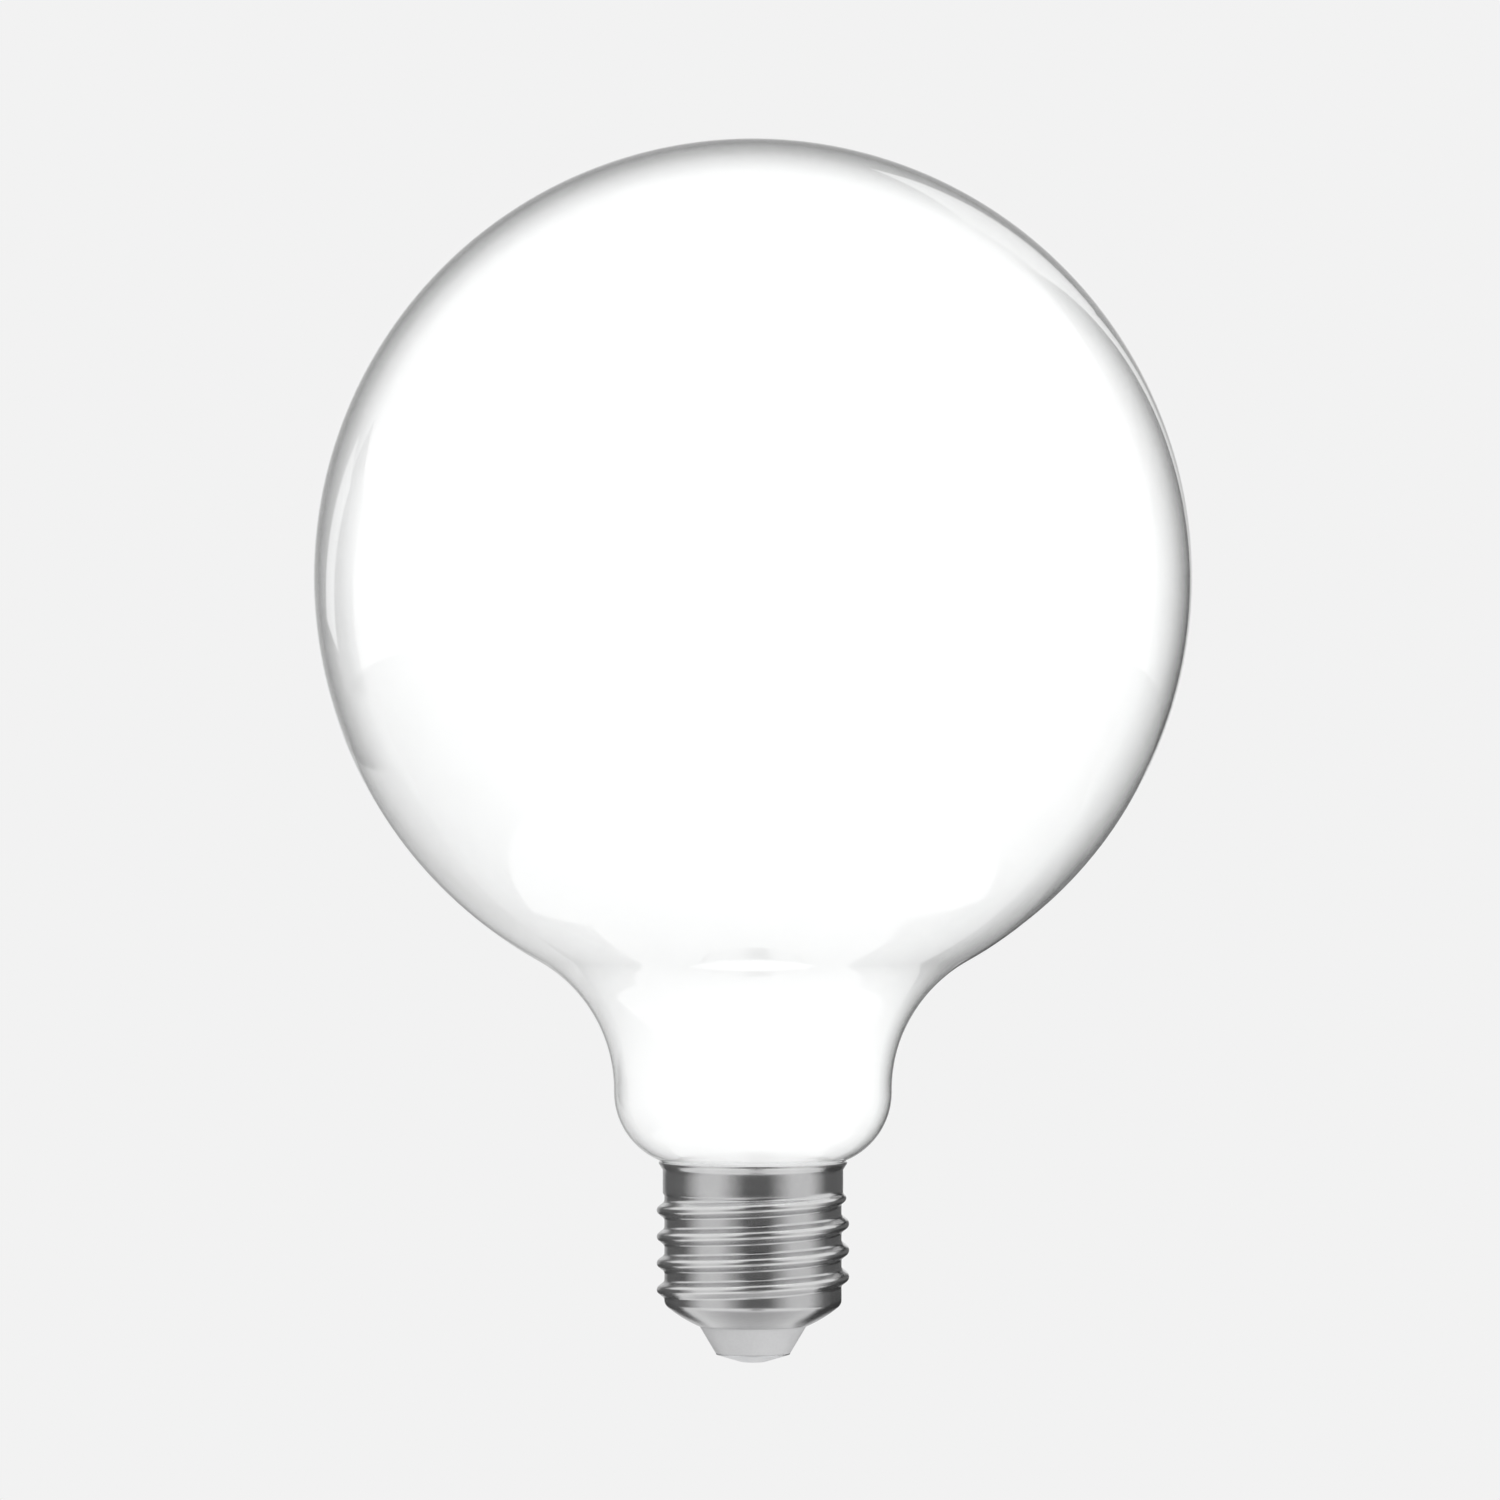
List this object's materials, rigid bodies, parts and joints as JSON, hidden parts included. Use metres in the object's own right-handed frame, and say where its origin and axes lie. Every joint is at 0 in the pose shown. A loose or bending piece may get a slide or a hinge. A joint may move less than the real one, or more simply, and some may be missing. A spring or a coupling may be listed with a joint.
{
  "type": "globe bulb",
  "caption": "Opal glass globe bulb with a waisted neck, a rolled screw cap with a right-hand thread, a tapered insulator and a centre contact.",
  "frame": {"origin": "lowest point of the centre contact, on the bulb's axis", "axes": "+Z along the bulb's axis from the cap to the globe; the bulb is round about it, and X and Y only place the ends of the thread"},
  "size_m": [0.12, 0.12, 0.1673],
  "materials": {
    "opal_glass": "gloss",
    "cap_sheet": "satin",
    "insulator": "satin",
    "contact": "satin"
  },
  "bodies": {
    "root": {"glass_globe": "opal_glass", "screw_shell": "cap_sheet", "insulator": "insulator", "centre_contact": "contact"}
  },
  "joints": []
}
